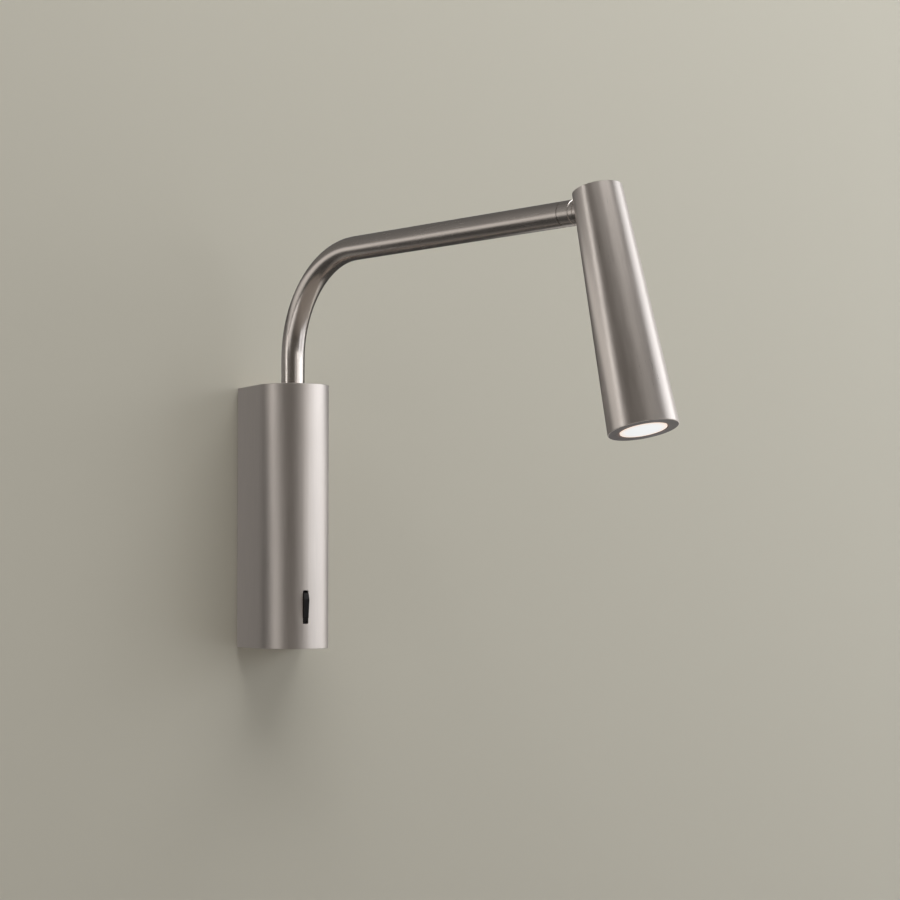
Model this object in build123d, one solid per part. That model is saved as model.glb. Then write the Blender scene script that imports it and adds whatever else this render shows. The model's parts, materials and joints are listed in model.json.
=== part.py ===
from build123d import *
import math
import os

# Bedside wall reading lamp, in millimetres.
# Origin: on the wall plane, at the middle of the column's height.
# +X runs right along the wall, +Y goes into the wall, +Z is up.
# The arm, the knuckle and the head are drawn with the arm pointing straight out, along -Y,
# and then turned to the angle at which the lamp is at rest.

# ---- rest pose ----
ARM_TURN = 14.5          # degrees from straight out, towards +X
HEAD_TILT = 15.0         # degrees that the head's foot leans away from the wall

# ---- fits and gaps ----
RUN_FIT = 0.03           # radial play where something turns
SEAT_FIT = 0.02          # radial play where something is pressed in
JOINT_GAP = 0.2          # visible line between turning pieces
SIDE_GAP = 0.1           # play beside a turning tongue
STOP_MARGIN = 1.5        # degrees left at each end stop
CUT = 1.0                # how far a cut starts outside what it cuts

# ---- column ----
COLUMN_HEIGHT = 135.0
COLUMN_RADIUS = 18.5     # front half round, and half the width
AXIS_DEPTH = 32.0        # wall to the arm's upright axis
COLUMN_WALL = 2.0
SHADOW_GAP = 0.8         # column's rear edge to the wall
EDGE_BREAK = 0.4         # how far screws sit below their mouths, and their drives
RIM_BREAK = 0.15         # column's top and bottom rims
CAP_THICKNESS = 4.0

# ---- wall plate ----
PLATE_WIDTH = 31.0
PLATE_THICKNESS = 2.5
WALL_SCREW_SPACING = 90.0
WALL_SCREW_HOLE = 2.3    # radius
TAB_REACH = 13.5
TAB_WIDTH = 24.0
TAB_LIFT = 4.5           # room under the lower tab to lift the column off
TAB_HOLE_DEPTH = 10.0    # wall to the peg and the fixing screw
PEG_RADIUS = 2.0
PEG_PAST_TAB = 1.0
CABLE_DROP = 17.0        # terminal block's foot down to the cable hole
CABLE_HOLE = 6.0         # radius
GROMMET_BORE = 4.0       # radius
GROMMET_FLANGE = 8.0
GROMMET_LIP = 1.2

# ---- swivel at the column's top ----
BOSS_RADIUS = 14.0
BOSS_LENGTH = 26.0
BUSH_RADIUS = 7.5
BUSH_LENGTH = 10.0
BUSH_FLANGE = 9.5
BUSH_FLANGE_THICKNESS = 1.4
BUSH_SINK = 0.2          # upper flange below the column's top
SUPPORT_RING_RADIUS = 7.2
SUPPORT_RING_THICKNESS = 1.6
GROOVE_DEPTH = 0.4       # ring grooves in the tube and the spigot
WASHER_RADIUS = 9.8
WASHER_THICKNESS = 1.0
SPRING_THICKNESS = 0.8
SPRING_HEIGHT = 1.6
COLLAR_RADIUS = 10.0
COLLAR_HEIGHT = 8.0
LUG_RADIUS = 13.4
LUG_HEIGHT = 5.0
STOP_PIN_RADIUS = 1.2
STOP_PIN_CIRCLE = 12.0
STOP_PIN_ROOT = 6.0      # length held in the boss
ARM_SWING = 90.0         # degrees each side of straight out
GRUB_RADIUS = 1.5

# ---- arm ----
TUBE_RADIUS = 6.0
TUBE_WALL = 1.0
TUBE_BELOW_COLLAR = 1.4
UPRIGHT = 13.5           # column's top to the start of the bend
BEND_RADIUS = 52.5
REACH = 180.0            # end of the bend to the head's axis
RING_LINE = 23.6         # head's axis back to the line where the head turns
WIRE_RADIUS = 0.8
WIRE_SPACING = 2.2

# ---- knuckle ----
INSERT_LENGTH = 12.0
SPIGOT_RADIUS = 3.5
SPIGOT_BORE = 1.8        # radius
CLIP_RADIUS = 4.6
CLIP_THICKNESS = 1.0
WAVE_THICKNESS = 0.8
SPIGOT_TAIL = 1.2        # spigot behind its clip
TURN_PIN_RADIUS = 0.5
TURN_PIN_CIRCLE = 4.3
TURN_PIN_REACH = 1.4
TURN_GROOVE_GAP = 0.1
TURN_LIMIT = 165.0       # degrees each way
NOSE_END = 15.3          # head's axis back to the spacer
SPACER_LENGTH = 0.6
SPACER_RADIUS = 5.8
SHANK_RADIUS = 3.0
SHANK_LENGTH = 6.0
NOSE_GROOVE = 0.3        # width and depth
NOSE_GROOVE_PLACE = 12.9
TONGUE_THICKNESS = 11.2  # across the flats
FLAT_END = 9.5           # head's axis back to the end of the flats
TONGUE_BORE = 1.2        # radius, for the wires
TILT_PIN_RADIUS = 1.5
TILT_PIN_LENGTH = 19.0

# ---- head ----
HEAD_ABOVE = 9.0         # pivot to the top
HEAD_BELOW = 104.0       # pivot to the light
HEAD_TOP_RADIUS = 11.5
HEAD_FOOT_RADIUS = 16.0
HEAD_WALL = 1.6
HEAD_EDGE_BREAK = 0.15
TOP_CAP_THICKNESS = 1.6
TILT_WASHER_RADIUS = 4.3
TILT_WASHER_THICKNESS = 0.5
TILT_IN = 15.0           # degrees the foot can lean towards the wall
TILT_OUT = 45.0          # degrees the foot can lean away from the wall
SLOT_MARGIN = 0.5        # tongue to the end of its slot
YOKE_FLOOR = 10.0        # yoke's solid part below its slot
SPACER_TUBE_RADIUS = 6.0
SPACER_TUBE_WALL = 1.0
SINK_LENGTH = 28.0
FIN_COUNT = 6
FIN_DEPTH = 5.0
FIN_GROOVE = 2.0
WIRE_HOLE = 2.4          # radius
BOARD_RADIUS = 10.5
BOARD_THICKNESS = 1.6
CHIP_RADIUS = 3.0
CHIP_THICKNESS = 1.0
BOARD_SCREW_OFFSET = 8.0
BOARD_SCREW_RADIUS = 1.0
BOARD_SCREW_HEAD = 1.8
BOARD_SCREW_HEAD_HEIGHT = 1.0
BOARD_SCREW_LENGTH = 6.0
OPTIC_LENGTH = 12.0
OPTIC_NECK = 4.6
OPTIC_MOUTH = 12.2
LENS_RADIUS = 12.7
LENS_THICKNESS = 2.0
LIP_THICKNESS = 1.4
LIGHT_RADIUS = 10.6
LIP_BEVEL = 0.5
RIM_EDGE = 0.35          # head's wall outside the ring's flange
RING_SLEEVE = 10.0

# ---- switch ----
SWITCH_RISE = 21.2       # column's foot up to the rocker's pivot
SLOT_WIDTH = 3.0
SLOT_HEIGHT = 17.0
SLOT_CORNER = 0.6        # radius
ROCKER_WIDTH = 2.6
ROCKER_SWEEP = 8.2       # radius of the rocker's ends about its pivot
ROCKER_PIVOT_DEPTH = 3.7 # column's front to the pivot
ROCKER_CREST = 1.35      # crest in front of the column at mid travel
ROCKER_CREST_Z = 4.6
ROCKER_EDGE = -0.2       # ends of the rocker's face at mid travel
ROCKER_ROOT = 3.0        # rocker behind its pivot
ROCKER_ROOT_HEIGHT = 5.0
ROCKER_TRAVEL = 14.0     # degrees between off and on
TRUNNION_RADIUS = 0.8
TRUNNION_REACH = 1.0     # beyond each side of the rocker
EAR_THICKNESS = 1.5
EAR_CROWN = 0.5          # ear in front of the trunnion's bore
NECK_DEPTH = 2.8
NECK_HEIGHT = 19.0
HOUSING_WIDTH = 12.0
HOUSING_HEIGHT = 20.0
HOUSING_DEPTH = 18.0
HOLDER_WALL = 1.5
HOLDER_OVERLAP = 5.0     # how far the holder's frame takes the housing
HOLDER_FIT = 0.05
TERMINAL_WIDTH = 4.8
TERMINAL_THICKNESS = 0.8
TERMINAL_PITCH = 8.0

# ---- electrics on the tray and the plate ----
TRAY_DEPTH = 19.4        # wall to the middle of the tray
TRAY_THICKNESS = 1.2
TRAY_PAST_EAR = 1.0      # tray above the driver's ear
TRAY_RISE = 5.5          # foot cap up to the tray
RAIL_DEPTH = 1.6
RAIL_THICKNESS = 1.2
RAIL_FIT = 0.1
DRIVER_WIDTH = 21.0
DRIVER_DEPTH = 18.0
DRIVER_GAP = 0.45        # switch holder up to the driver's ear
DRIVER_ROUND = 1.2
DRIVER_EAR = 4.0
DRIVER_EAR_THICKNESS = 2.0
DRIVER_SCREW_RADIUS = 1.2
DRIVER_SCREW_HEAD = 1.9
DRIVER_SCREW_HEAD_HEIGHT = 1.3
CONNECTOR_WIDTH = 7.0
CONNECTOR_DEPTH = 5.0
CONNECTOR_HEIGHT = 6.0
WIRE_ROOM = 8.1          # connector up to the tube's foot
BLOCK_WIDTH = 16.0
BLOCK_HEIGHT = 14.0
BLOCK_DEPTH = 11.0
BLOCK_RISE = 1.0         # driver's top up to the terminal block's
BLOCK_POLES = 3
BLOCK_PITCH = 5.0
BLOCK_WIRE_HOLE = 1.3    # radius
BLOCK_SCREW_RADIUS = 1.5
BLOCK_SCREW_OFFSET = 4.0
BLOCK_SCREW_DEPTH = 3.0
BLOCK_FIXING_RADIUS = 1.0
LEAD_RADIUS = 0.9
LEAD_DEPTH = 9.0         # wall to the leads behind the tray
LEAD_BEND = 4.0
LEAD_LOOP = 9.4          # radius of the leads' way over the tray
LEAD_INSERT = 3.0        # lead inside the terminal block
EARTH_X = 8.0
EARTH_RISE = 17.0        # terminal block's top up to the earth screw
EARTH_RADIUS = 1.9
EARTH_HEAD = 3.6
EARTH_HEAD_HEIGHT = 2.4
EARTH_WASHER = 4.5
EARTH_WASHER_THICKNESS = 0.8
FIXING_RADIUS = 2.0
FIXING_HEAD = 3.6
FIXING_HEAD_HEIGHT = 2.2
FIXING_PAST_TAB = 1.0

# ---- places worked out from the sizes ----
AXIS_Y = -AXIS_DEPTH
COLUMN_TOP = COLUMN_HEIGHT / 2
COLUMN_FOOT = -COLUMN_HEIGHT / 2
COLUMN_FRONT = AXIS_Y - COLUMN_RADIUS
INNER_RADIUS = COLUMN_RADIUS - COLUMN_WALL
CAP_UNDERSIDE = COLUMN_TOP - CAP_THICKNESS
FOOT_CAP_TOP = COLUMN_FOOT + CAP_THICKNESS
PLATE_FOOT = FOOT_CAP_TOP + TAB_LIFT
BOSS_FOOT = CAP_UNDERSIDE - BOSS_LENGTH
LOWER_BUSH_TOP = BOSS_FOOT + BUSH_LENGTH
FLANGE_FOOT = BOSS_FOOT - BUSH_FLANGE_THICKNESS
WASHER_FOOT = FLANGE_FOOT - WASHER_THICKNESS
COLLAR_TOP = WASHER_FOOT - SPRING_HEIGHT
COLLAR_FOOT = COLLAR_TOP - COLLAR_HEIGHT
TUBE_FOOT = COLLAR_FOOT - TUBE_BELOW_COLLAR
TUBE_BORE = TUBE_RADIUS - TUBE_WALL
BEND_START = COLUMN_TOP + UPRIGHT
ARM_Z = BEND_START + BEND_RADIUS
PIVOT_OUT = BEND_RADIUS + REACH
SPIGOT_END = RING_LINE + INSERT_LENGTH + WAVE_THICKNESS + CLIP_THICKNESS + SPIGOT_TAIL
SLEEVE_START = NOSE_END + SPACER_LENGTH
SLEEVE_END = RING_LINE - JOINT_GAP
TONGUE_SLOT = TONGUE_THICKNESS / 2 + TILT_WASHER_THICKNESS + SIDE_GAP
HEAD_TAPER = (HEAD_FOOT_RADIUS - HEAD_TOP_RADIUS) / (HEAD_ABOVE + HEAD_BELOW)
SLOT_DROP = (HEAD_TOP_RADIUS + HEAD_ABOVE * HEAD_TAPER) * math.tan(math.radians(TILT_IN))
SLOT_FOOT = -(SLOT_DROP + TUBE_RADIUS / math.cos(math.radians(TILT_IN)) + SLOT_MARGIN)
YOKE_TOP = HEAD_ABOVE - TOP_CAP_THICKNESS
TILTED_FRONT = TUBE_RADIUS / math.sin(math.radians(TILT_OUT)) - YOKE_TOP / math.tan(math.radians(TILT_OUT))
YOKE_FOOT = SLOT_FOOT - YOKE_FLOOR
LENS_FOOT = -HEAD_BELOW + LIP_THICKNESS
LENS_TOP = LENS_FOOT + LENS_THICKNESS
BOARD_FOOT = LENS_TOP + OPTIC_LENGTH
SINK_FOOT = BOARD_FOOT + BOARD_THICKNESS
SINK_TOP = SINK_FOOT + SINK_LENGTH
PIVOT_Y = COLUMN_FRONT + ROCKER_PIVOT_DEPTH
ROCKER_CAVITY = ROCKER_WIDTH / 2 + SIDE_GAP
NECK_FRONT = PIVOT_Y - TRUNNION_RADIUS - RUN_FIT - EAR_CROWN
HOUSING_FRONT = NECK_FRONT + NECK_DEPTH
HOUSING_BACK = HOUSING_FRONT + HOUSING_DEPTH
TRAY_FRONT = -TRAY_DEPTH - TRAY_THICKNESS / 2
TRAY_BACK = -TRAY_DEPTH + TRAY_THICKNESS / 2
SWITCH_Z = COLUMN_FOOT + SWITCH_RISE
HOLDER_TOP = SWITCH_Z + HOUSING_HEIGHT / 2 + HOLDER_FIT + HOLDER_WALL
CONNECTOR_TOP = TUBE_FOOT - WIRE_ROOM
DRIVER_TOP = CONNECTOR_TOP - CONNECTOR_HEIGHT
DRIVER_FOOT = HOLDER_TOP + DRIVER_GAP + DRIVER_EAR
TRAY_TOP = DRIVER_TOP + DRIVER_EAR + TRAY_PAST_EAR
TRAY_FOOT = FOOT_CAP_TOP + TRAY_RISE
BLOCK_TOP = DRIVER_TOP + BLOCK_RISE
BLOCK_Z = BLOCK_TOP - BLOCK_HEIGHT / 2
BLOCK_FOOT = BLOCK_TOP - BLOCK_HEIGHT
EARTH_Z = BLOCK_TOP + EARTH_RISE
CABLE_HOLE_Z = BLOCK_FOOT - CABLE_DROP


# ---- simple solids ----
def block(x0, x1, y0, y1, z0, z1):
    """Box between two corners."""
    place = Pos((x0 + x1) / 2, (y0 + y1) / 2, (z0 + z1) / 2)
    return place * Box(x1 - x0, y1 - y0, z1 - z0)


def post(radius, z0, z1, x=0, y=0):
    """Upright cylinder."""
    return Pos(x, y, (z0 + z1) / 2) * Cylinder(radius, z1 - z0)


def ring(outer, inner, z0, z1, x=0, y=0):
    """Upright ring."""
    return post(outer, z0, z1, x, y) - post(inner, z0 - CUT, z1 + CUT, x, y)


def rod(radius, y0, y1, x=0, z=0):
    """Cylinder along Y."""
    return Pos(x, (y0 + y1) / 2, z) * Rot(90, 0, 0) * Cylinder(radius, y1 - y0)


def hoop(outer, inner, y0, y1, x=0, z=0):
    """Ring along Y."""
    return rod(outer, y0, y1, x, z) - rod(inner, y0 - CUT, y1 + CUT, x, z)


def pie(radius, height, angle):
    """Slice of an upright cylinder, from the X axis round to angle, with its point at the origin."""
    return Cylinder(radius, height, arc_size=angle, align=(Align.NONE, Align.NONE, Align.CENTER))


def cross_pin(radius, x0, x1):
    """Cylinder along X through the origin's axis."""
    return Pos((x0 + x1) / 2, 0, 0) * Rot(0, 90, 0) * Cylinder(radius, x1 - x0)


def d_section(radius, back_y):
    """Half round about the arm's axis, with flat sides back to back_y."""
    left = Line((-radius, back_y), (-radius, AXIS_Y))
    nose = ThreePointArc((-radius, AXIS_Y), (0, AXIS_Y - radius), (radius, AXIS_Y))
    right = Line((radius, AXIS_Y), (radius, back_y))
    back = Line((radius, back_y), (-radius, back_y))
    return make_face([left, nose, right, back])


def d_prism(radius, back_y, z0, z1):
    return extrude(Pos(0, 0, z0) * d_section(radius, back_y), z1 - z0)


def head_cone(u0, u1, inset=0.0):
    """Slice of the head's taper from u0 up to u1, with its radius less inset."""
    foot = HEAD_TOP_RADIUS + (HEAD_ABOVE - u0) * HEAD_TAPER - inset
    top = HEAD_TOP_RADIUS + (HEAD_ABOVE - u1) * HEAD_TAPER - inset
    return Pos(0, 0, (u0 + u1) / 2) * Cone(foot, top, u1 - u0)


# ---- where things go ----
def on_axis(shape):
    """Column frame: the origin moves to the arm's upright axis."""
    return Pos(0, AXIS_Y, 0) * shape


def on_arm(shape):
    """Arm frame: upright axis at the origin, arm along -Y."""
    return Pos(0, AXIS_Y, 0) * Rot(0, 0, ARM_TURN) * shape


def on_knuckle(shape):
    """Knuckle frame: tilt pivot at the origin, column along +Y."""
    return on_arm(Pos(0, -PIVOT_OUT, ARM_Z) * shape)


def on_head(shape):
    """Head frame: tilt pivot at the origin, light along -Z."""
    return on_knuckle(Rot(-HEAD_TILT, 0, 0) * shape)


def on_switch(shape):
    """Switch frame: rocker pivot at the origin, outwards along -Y."""
    return Pos(0, PIVOT_Y, SWITCH_Z) * shape


def bent_rod(radius, foot, end, x=0):
    """Rod along the arm's centre line, from height foot to the distance end."""
    upright = post(radius, foot, BEND_START, x)
    hinge = Axis((0, -BEND_RADIUS, BEND_START), (1, 0, 0))
    bend = revolve(Pos(x, 0, BEND_START) * Circle(radius), hinge, 90)
    level = rod(radius, -end, -BEND_RADIUS, x, ARM_Z)
    return upright + bend + level


# ---- column ----
def column_shell():
    outer = d_prism(COLUMN_RADIUS, -SHADOW_GAP, COLUMN_FOOT, COLUMN_TOP)
    rims = outer.edges().group_by(Axis.Z)[0] + outer.edges().group_by(Axis.Z)[-1]
    rims = [edge for edge in rims if edge.center().Y < -SHADOW_GAP - RIM_BREAK]
    outer = chamfer(rims, RIM_BREAK)
    shell = outer - d_prism(INNER_RADIUS, 0, COLUMN_FOOT - CUT, COLUMN_TOP + CUT)
    for side in (-1, 1):
        for face in (-1, 1):
            middle = -TRAY_DEPTH + face * (TRAY_THICKNESS / 2 + RAIL_FIT + RAIL_THICKNESS / 2)
            rail = Box(RAIL_DEPTH, RAIL_THICKNESS, CAP_UNDERSIDE - FOOT_CAP_TOP)
            shell += Pos(side * (INNER_RADIUS - RAIL_DEPTH / 2), middle, 0) * rail
    slot = Box(SLOT_WIDTH, 3 * COLUMN_WALL, SLOT_HEIGHT)
    slot = fillet(slot.edges().filter_by(Axis.Y), SLOT_CORNER)
    return shell - Pos(0, COLUMN_FRONT, SWITCH_Z) * slot


def column_top_cap():
    cap = d_prism(INNER_RADIUS - SEAT_FIT, -SHADOW_GAP, CAP_UNDERSIDE, COLUMN_TOP)
    cap += on_axis(post(BOSS_RADIUS, BOSS_FOOT, CAP_UNDERSIDE))
    cap -= on_axis(post(BUSH_RADIUS + SEAT_FIT, BOSS_FOOT - CUT, COLUMN_TOP + CUT))
    recess = COLUMN_TOP - BUSH_SINK - BUSH_FLANGE_THICKNESS
    cap -= on_axis(post(BUSH_FLANGE + SEAT_FIT, recess, COLUMN_TOP + CUT))
    pin_top = BOSS_FOOT + STOP_PIN_ROOT
    cap -= on_axis(post(STOP_PIN_RADIUS + SEAT_FIT, BOSS_FOOT - CUT, pin_top, 0, STOP_PIN_CIRCLE))
    peg_foot = CAP_UNDERSIDE - PLATE_THICKNESS - PEG_PAST_TAB
    return cap + post(PEG_RADIUS, peg_foot, CAP_UNDERSIDE, 0, -TAB_HOLE_DEPTH)


def column_bottom_cap():
    cap = d_prism(INNER_RADIUS - SEAT_FIT, -SHADOW_GAP, COLUMN_FOOT, FOOT_CAP_TOP)
    cap -= post(FIXING_RADIUS + JOINT_GAP, COLUMN_FOOT - CUT, FOOT_CAP_TOP + CUT, 0, -TAB_HOLE_DEPTH)
    head_top = COLUMN_FOOT + FIXING_HEAD_HEIGHT
    return cap - post(FIXING_HEAD + JOINT_GAP, COLUMN_FOOT - CUT, head_top, 0, -TAB_HOLE_DEPTH)


def column_fixing_screw():
    tip = PLATE_FOOT + PLATE_THICKNESS + FIXING_PAST_TAB
    head_top = COLUMN_FOOT + FIXING_HEAD_HEIGHT
    screw = post(FIXING_HEAD, COLUMN_FOOT + EDGE_BREAK, head_top)
    screw += post(FIXING_RADIUS, head_top, tip)
    key = extrude(RegularPolygon(FIXING_RADIUS / 2, 6), FIXING_HEAD_HEIGHT / 2)
    screw -= Pos(0, 0, COLUMN_FOOT + EDGE_BREAK) * key
    return Pos(0, -TAB_HOLE_DEPTH, 0) * screw


# ---- wall plate ----
def wall_plate():
    half = PLATE_WIDTH / 2
    plate = block(-half, half, -PLATE_THICKNESS, 0, PLATE_FOOT, CAP_UNDERSIDE)
    tab_half = TAB_WIDTH / 2
    tab_end = -PLATE_THICKNESS - TAB_REACH
    for foot in (PLATE_FOOT, CAP_UNDERSIDE - PLATE_THICKNESS):
        plate += block(-tab_half, tab_half, tab_end, -PLATE_THICKNESS, foot, foot + PLATE_THICKNESS)
    low, high = PLATE_FOOT - CUT, PLATE_FOOT + PLATE_THICKNESS + CUT
    plate -= post(FIXING_RADIUS + SEAT_FIT, low, high, 0, -TAB_HOLE_DEPTH)
    low, high = CAP_UNDERSIDE - PLATE_THICKNESS - CUT, CAP_UNDERSIDE + CUT
    plate -= post(PEG_RADIUS + SIDE_GAP, low, high, 0, -TAB_HOLE_DEPTH)
    through = (-PLATE_THICKNESS - CUT, 1)
    for side in (-1, 1):
        plate -= rod(WALL_SCREW_HOLE, *through, 0, side * WALL_SCREW_SPACING / 2)
    plate -= rod(CABLE_HOLE, *through, 0, CABLE_HOLE_Z)
    plate -= rod(BLOCK_FIXING_RADIUS + SEAT_FIT, *through, BLOCK_PITCH / 2, BLOCK_Z)
    return plate - rod(EARTH_RADIUS + SEAT_FIT, *through, EARTH_X, EARTH_Z)


def cable_grommet():
    lip = -PLATE_THICKNESS - GROMMET_LIP
    grommet = hoop(CABLE_HOLE - SEAT_FIT, GROMMET_BORE, lip, 0, 0, CABLE_HOLE_Z)
    return grommet + hoop(GROMMET_FLANGE, GROMMET_BORE, lip, -PLATE_THICKNESS, 0, CABLE_HOLE_Z)


def earth_screw():
    seat = -PLATE_THICKNESS - EARTH_WASHER_THICKNESS
    screw = rod(EARTH_HEAD, seat - EARTH_HEAD_HEIGHT, seat, EARTH_X, EARTH_Z)
    screw += rod(EARTH_RADIUS, seat, 0, EARTH_X, EARTH_Z)
    drive = Box(EARTH_HEAD * 1.4, EARTH_HEAD_HEIGHT, EARTH_HEAD / 4)
    return screw - Pos(EARTH_X, seat - EARTH_HEAD_HEIGHT, EARTH_Z) * drive


def earth_washer():
    seat = -PLATE_THICKNESS - EARTH_WASHER_THICKNESS
    return hoop(EARTH_WASHER, EARTH_RADIUS + SEAT_FIT, seat, -PLATE_THICKNESS, EARTH_X, EARTH_Z)


# ---- terminal block on the plate ----
def pole_places():
    return [(pole - (BLOCK_POLES - 1) / 2) * BLOCK_PITCH for pole in range(BLOCK_POLES)]


def terminal_block():
    half = BLOCK_WIDTH / 2
    front = -PLATE_THICKNESS - BLOCK_DEPTH
    body = block(-half, half, front, -PLATE_THICKNESS, BLOCK_FOOT, BLOCK_TOP)
    for x in pole_places():
        body -= post(BLOCK_WIRE_HOLE, BLOCK_FOOT - CUT, BLOCK_TOP + CUT, x, -LEAD_DEPTH)
        for side in (-1, 1):
            z = BLOCK_Z + side * BLOCK_SCREW_OFFSET
            body -= rod(BLOCK_SCREW_RADIUS + SEAT_FIT, front - CUT, front + BLOCK_SCREW_DEPTH, x, z)
    return body - rod(BLOCK_FIXING_RADIUS + SEAT_FIT, front - CUT, 0, BLOCK_PITCH / 2, BLOCK_Z)


def terminal_screws():
    front = -PLATE_THICKNESS - BLOCK_DEPTH
    screws = []
    for x in pole_places():
        for side in (-1, 1):
            z = BLOCK_Z + side * BLOCK_SCREW_OFFSET
            screw = rod(BLOCK_SCREW_RADIUS, front + EDGE_BREAK, front + BLOCK_SCREW_DEPTH, x, z)
            drive = Box(3 * BLOCK_SCREW_RADIUS, 2 * EDGE_BREAK, EDGE_BREAK)
            screws.append(screw - Pos(x, front + EDGE_BREAK, z) * drive)
    return screws


def block_fixing_screw():
    front = -PLATE_THICKNESS - BLOCK_DEPTH + EDGE_BREAK
    return rod(BLOCK_FIXING_RADIUS, front, 0, BLOCK_PITCH / 2, BLOCK_Z)


# ---- tray, driver and leads ----
def driver_tray():
    half = INNER_RADIUS - SIDE_GAP
    tray = block(-half, half, TRAY_FRONT, TRAY_BACK, TRAY_FOOT, TRAY_TOP)
    window = Box(HOUSING_WIDTH, 3 * TRAY_THICKNESS, HOUSING_HEIGHT)
    tray -= Pos(0, -TRAY_DEPTH, SWITCH_Z) * window
    for z in driver_screw_places():
        tray -= rod(DRIVER_SCREW_RADIUS + SEAT_FIT, TRAY_FRONT - CUT, TRAY_BACK + CUT, 0, z)
    return tray


def driver_screw_places():
    return (DRIVER_FOOT - DRIVER_EAR / 2, DRIVER_TOP + DRIVER_EAR / 2)


def led_driver():
    half = DRIVER_WIDTH / 2
    body = block(-half, half, TRAY_FRONT - DRIVER_DEPTH, TRAY_FRONT, DRIVER_FOOT, DRIVER_TOP)
    body = fillet(body.edges().filter_by(Axis.Z).group_by(Axis.Y)[0], DRIVER_ROUND)
    ear_front = TRAY_FRONT - DRIVER_EAR_THICKNESS
    ear_foot = DRIVER_FOOT - DRIVER_EAR
    body += block(-half, half, ear_front, TRAY_FRONT, ear_foot, DRIVER_TOP + DRIVER_EAR)
    for z in driver_screw_places():
        body -= rod(DRIVER_SCREW_RADIUS + SEAT_FIT, ear_front - CUT, TRAY_FRONT + CUT, 0, z)
    return body


def driver_screws():
    ear_front = TRAY_FRONT - DRIVER_EAR_THICKNESS
    screws = []
    for z in driver_screw_places():
        screw = rod(DRIVER_SCREW_RADIUS, ear_front, TRAY_BACK, 0, z)
        screws.append(screw + rod(DRIVER_SCREW_HEAD, ear_front - DRIVER_SCREW_HEAD_HEIGHT, ear_front, 0, z))
    return screws


def driver_connector():
    body = Pos(0, 0, (DRIVER_TOP + CONNECTOR_TOP) / 2)
    return on_axis(body * Box(CONNECTOR_WIDTH, CONNECTOR_DEPTH, CONNECTOR_HEIGHT))


def lead_places():
    """The outer poles, left and right."""
    return (pole_places()[0], pole_places()[-1])


def supply_leads():
    """Two leads from the terminal block over the tray's top to the driver."""
    leads = []
    hinge = Axis((0, -LEAD_DEPTH - LEAD_LOOP, BLOCK_TOP), (1, 0, 0))
    for x in lead_places():
        start = post(LEAD_RADIUS, BLOCK_TOP - LEAD_INSERT, BLOCK_TOP, x, -LEAD_DEPTH)
        turn = revolve(Pos(x, -LEAD_DEPTH, BLOCK_TOP) * Circle(LEAD_RADIUS), hinge, 180)
        down = post(LEAD_RADIUS, DRIVER_TOP, BLOCK_TOP, x, -LEAD_DEPTH - 2 * LEAD_LOOP)
        leads.append(start + turn + down)
    return leads


def switch_leads():
    """Two leads from the terminal block down to the switch's blades."""
    leads = []
    for side, x in zip((-1, 1), lead_places()):
        z = SWITCH_Z + side * TERMINAL_PITCH / 2
        down = post(LEAD_RADIUS, z + LEAD_BEND, BLOCK_FOOT + LEAD_INSERT, x, -LEAD_DEPTH)
        hinge = Axis((0, -LEAD_DEPTH - LEAD_BEND, z + LEAD_BEND), (-1, 0, 0))
        turn = revolve(Pos(x, -LEAD_DEPTH, z + LEAD_BEND) * Circle(LEAD_RADIUS), hinge, 90)
        out = rod(LEAD_RADIUS, TRAY_FRONT, -LEAD_DEPTH - LEAD_BEND, x, z)
        leads.append(down + turn + out)
    return leads


# ---- switch ----
def switch_holder():
    """Frame on the tray that takes the back of the housing."""
    half = HOUSING_WIDTH / 2 + HOLDER_FIT + HOLDER_WALL
    tall = HOUSING_HEIGHT / 2 + HOLDER_FIT + HOLDER_WALL
    front = HOUSING_BACK - HOLDER_OVERLAP
    frame = block(-half, half, front, TRAY_FRONT, SWITCH_Z - tall, SWITCH_Z + tall)
    half = HOUSING_WIDTH / 2 + HOLDER_FIT
    tall = HOUSING_HEIGHT / 2 + HOLDER_FIT
    return frame - block(-half, half, front - CUT, TRAY_FRONT + CUT, SWITCH_Z - tall, SWITCH_Z + tall)


def switch_housing():
    neck = ROCKER_CAVITY + EAR_THICKNESS
    half = HOUSING_WIDTH / 2
    front = NECK_FRONT - PIVOT_Y
    shoulder = HOUSING_FRONT - PIVOT_Y
    back = HOUSING_BACK - PIVOT_Y
    body = block(-neck, neck, front, shoulder, -NECK_HEIGHT / 2, NECK_HEIGHT / 2)
    body += block(-half, half, shoulder, back, -HOUSING_HEIGHT / 2, HOUSING_HEIGHT / 2)
    cavity_back = math.hypot(ROCKER_ROOT, ROCKER_ROOT_HEIGHT / 2) + SIDE_GAP
    tall = ROCKER_SWEEP + SLOT_MARGIN
    body -= block(-ROCKER_CAVITY, ROCKER_CAVITY, front - CUT, cavity_back, -tall, tall)
    bore = ROCKER_WIDTH / 2 + TRUNNION_REACH + SIDE_GAP
    return on_switch(body - cross_pin(TRUNNION_RADIUS + RUN_FIT, -bore, bore))


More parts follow.
